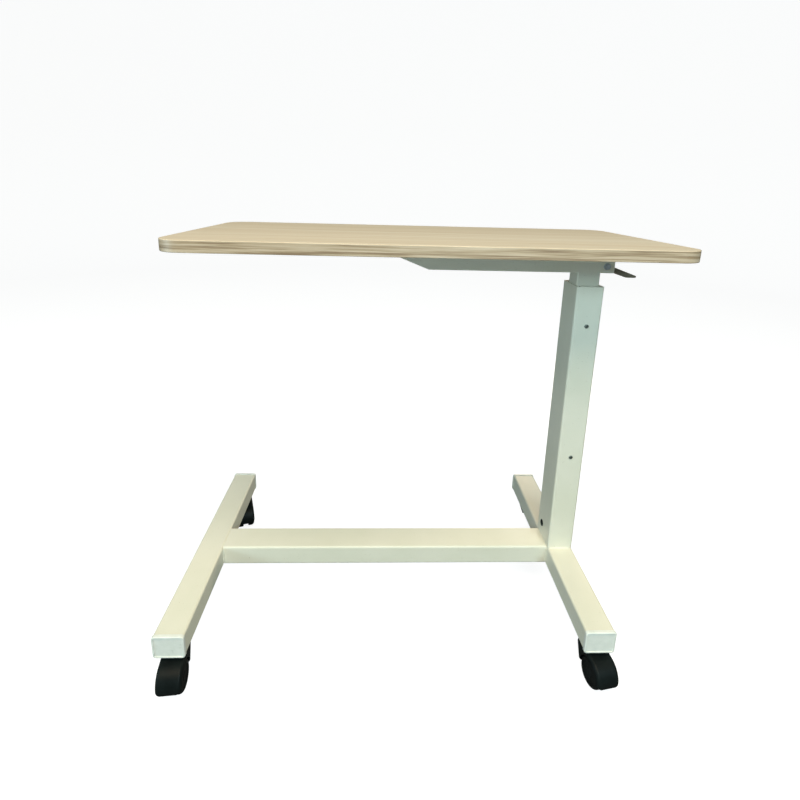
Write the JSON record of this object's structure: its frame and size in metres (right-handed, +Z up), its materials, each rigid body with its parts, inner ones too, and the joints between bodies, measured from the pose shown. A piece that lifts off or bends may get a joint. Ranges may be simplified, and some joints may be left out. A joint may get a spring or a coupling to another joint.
{
  "type": "overbed table",
  "caption": "Wheeled overbed table with an H-shaped tube base, a telescopic gas-spring column at one end and a cantilevered wood-grain top with a release lever.",
  "frame": {"origin": "on the floor, under the middle of the whole table at its lowest height", "axes": "+X along the tabletop towards the column, +Y across the tabletop towards the back, +Z up"},
  "size_m": [0.835, 0.5093, 0.735],
  "materials": {
    "frame_paint": "satin ivory powder coat",
    "cap_plastic": "smooth moulded ivory plastic",
    "zinc": "bright zinc plate",
    "nylon_white": "natural white nylon",
    "spring_black": "black gloss paint",
    "spring_alloy": "turned aluminium",
    "rod_chrome": "hard chrome",
    "lever_steel": "dark satin paint",
    "grip_plastic": "fine-grained dark plastic",
    "board_core": "particle board",
    "top_laminate": "pale oak-grain laminate, satin",
    "backing": "plain off-white backing laminate",
    "edge_band": "woodgrain edge banding, satin",
    "caster_black": "black nylon, fine grain",
    "axle_steel": "plain steel",
    "wheel_black": "black nylon, smooth tread"
  },
  "bodies": {
    "base": {"left_foot": "frame_paint", "right_foot": "frame_paint", "crossbar": "frame_paint", "end_cap_left_front": "cap_plastic", "end_cap_left_back": "cap_plastic", "end_cap_right_front": "cap_plastic", "end_cap_right_back": "cap_plastic", "caster_nuts": "zinc", "caster_stems": "zinc", "outer_column": "frame_paint", "vent_plug": "caster_black", "upper_guides": "nylon_white", "guide_rail_front": "nylon_white", "guide_rail_back": "nylon_white", "guide_screws": "zinc", "gas_spring_saddle": "zinc", "gas_spring_pin": "zinc", "gas_spring_pin_clip": "zinc", "gas_spring_cylinder": "spring_black", "gas_spring_gland": "spring_alloy"},
    "top": {"inner_column": "frame_paint", "lower_glides": "nylon_white", "head_plate": "zinc", "gas_spring_rod": "rod_chrome", "gas_spring_piston": "spring_alloy", "rod_nuts": "zinc", "support_beam": "frame_paint", "lever_bracket": "frame_paint", "cross_plate_left": "frame_paint", "cross_plate_right": "frame_paint", "lever_bolt": "zinc", "lever_nut": "zinc", "lever_washers": "zinc", "lever_spacers": "nylon_white", "tabletop_core": "board_core", "top_laminate": "top_laminate", "backing_laminate": "backing", "edge_band": "edge_band", "board_screws": "zinc"},
    "lever": {"release_lever": "lever_steel", "lever_grip": "grip_plastic"},
    "valve_pin": {"release_pin": "zinc"},
    "floating_piston": {"gas_spring_floating_piston": "spring_alloy"},
    "caster_front_left": {"caster_hood_front_left": "caster_black", "caster_axle_front_left": "axle_steel"},
    "wheel_front_left_1": {"wheel_front_left_1": "wheel_black"},
    "wheel_front_left_2": {"wheel_front_left_2": "wheel_black"},
    "caster_front_right": {"caster_hood_front_right": "caster_black", "caster_axle_front_right": "axle_steel"},
    "wheel_front_right_1": {"wheel_front_right_1": "wheel_black"},
    "wheel_front_right_2": {"wheel_front_right_2": "wheel_black"},
    "caster_back_left": {"caster_hood_back_left": "caster_black", "caster_axle_back_left": "axle_steel"},
    "wheel_back_left_1": {"wheel_back_left_1": "wheel_black"},
    "wheel_back_left_2": {"wheel_back_left_2": "wheel_black"},
    "caster_back_right": {"caster_hood_back_right": "caster_black", "caster_axle_back_right": "axle_steel"},
    "wheel_back_right_1": {"wheel_back_right_1": "wheel_black"},
    "wheel_back_right_2": {"wheel_back_right_2": "wheel_black"}
  },
  "joints": [
    {"name": "height", "type": "slide", "parent": "base", "child": "top", "axis": [0, 0, 1], "range_m": [0, 0.32]},
    {"name": "lever_pivot", "type": "hinge", "parent": "top", "child": "lever", "pos_m": [0.3425, 0.01465, 0.687], "axis": [0, -1, 0], "range_deg": [0, 9], "stiffness_Nm_per_rad": 4, "springref_deg": -20.05},
    {"name": "valve", "type": "slide", "parent": "top", "child": "valve_pin", "axis": [0, 0, 1], "range_m": [-0.004, 0]},
    {"name": "gas_chamber", "type": "slide", "parent": "base", "child": "floating_piston", "axis": [0, 0, 1], "range_m": [0, 0.0512]},
    {"name": "swivel_front_left", "type": "hinge", "parent": "base", "child": "caster_front_left", "pos_m": [-0.3915, -0.19535, 0.05], "axis": [0, 0, 1], "continuous": true},
    {"name": "roll_front_left_1", "type": "hinge", "parent": "caster_front_left", "child": "wheel_front_left_1", "pos_m": [-0.38906, -0.22324, 0.025], "axis": [0.9962, 0.0872, 0], "continuous": true},
    {"name": "roll_front_left_2", "type": "hinge", "parent": "caster_front_left", "child": "wheel_front_left_2", "pos_m": [-0.38906, -0.22324, 0.025], "axis": [0.9962, 0.0872, 0], "continuous": true},
    {"name": "swivel_front_right", "type": "hinge", "parent": "base", "child": "caster_front_right", "pos_m": [0.3175, -0.19535, 0.05], "axis": [0, 0, 1], "continuous": true},
    {"name": "roll_front_right_1", "type": "hinge", "parent": "caster_front_right", "child": "wheel_front_right_1", "pos_m": [0.32236, -0.22292, 0.025], "axis": [0.9848, 0.1736, 0], "continuous": true},
    {"name": "roll_front_right_2", "type": "hinge", "parent": "caster_front_right", "child": "wheel_front_right_2", "pos_m": [0.32236, -0.22292, 0.025], "axis": [0.9848, 0.1736, 0], "continuous": true},
    {"name": "swivel_back_left", "type": "hinge", "parent": "base", "child": "caster_back_left", "pos_m": [-0.3915, 0.22465, 0.05], "axis": [0, 0, 1], "continuous": true},
    {"name": "roll_back_left_1", "type": "hinge", "parent": "caster_back_left", "child": "wheel_back_left_1", "pos_m": [-0.38192, 0.19834, 0.025], "axis": [0.9397, 0.342, 0], "continuous": true},
    {"name": "roll_back_left_2", "type": "hinge", "parent": "caster_back_left", "child": "wheel_back_left_2", "pos_m": [-0.38192, 0.19834, 0.025], "axis": [0.9397, 0.342, 0], "continuous": true},
    {"name": "swivel_back_right", "type": "hinge", "parent": "base", "child": "caster_back_right", "pos_m": [0.3175, 0.22465, 0.05], "axis": [0, 0, 1], "continuous": true},
    {"name": "roll_back_right_1", "type": "hinge", "parent": "caster_back_right", "child": "wheel_back_right_1", "pos_m": [0.34455, 0.21741, 0.025], "axis": [0.2588, 0.9659, 0], "continuous": true},
    {"name": "roll_back_right_2", "type": "hinge", "parent": "caster_back_right", "child": "wheel_back_right_2", "pos_m": [0.34455, 0.21741, 0.025], "axis": [0.2588, 0.9659, 0], "continuous": true}
  ],
  "couplings": [
    {"joint": "valve", "follows": "lever_pivot", "m_per_rad": -0.0245},
    {"joint": "gas_chamber", "follows": "height", "ratio": 0.16}
  ]
}
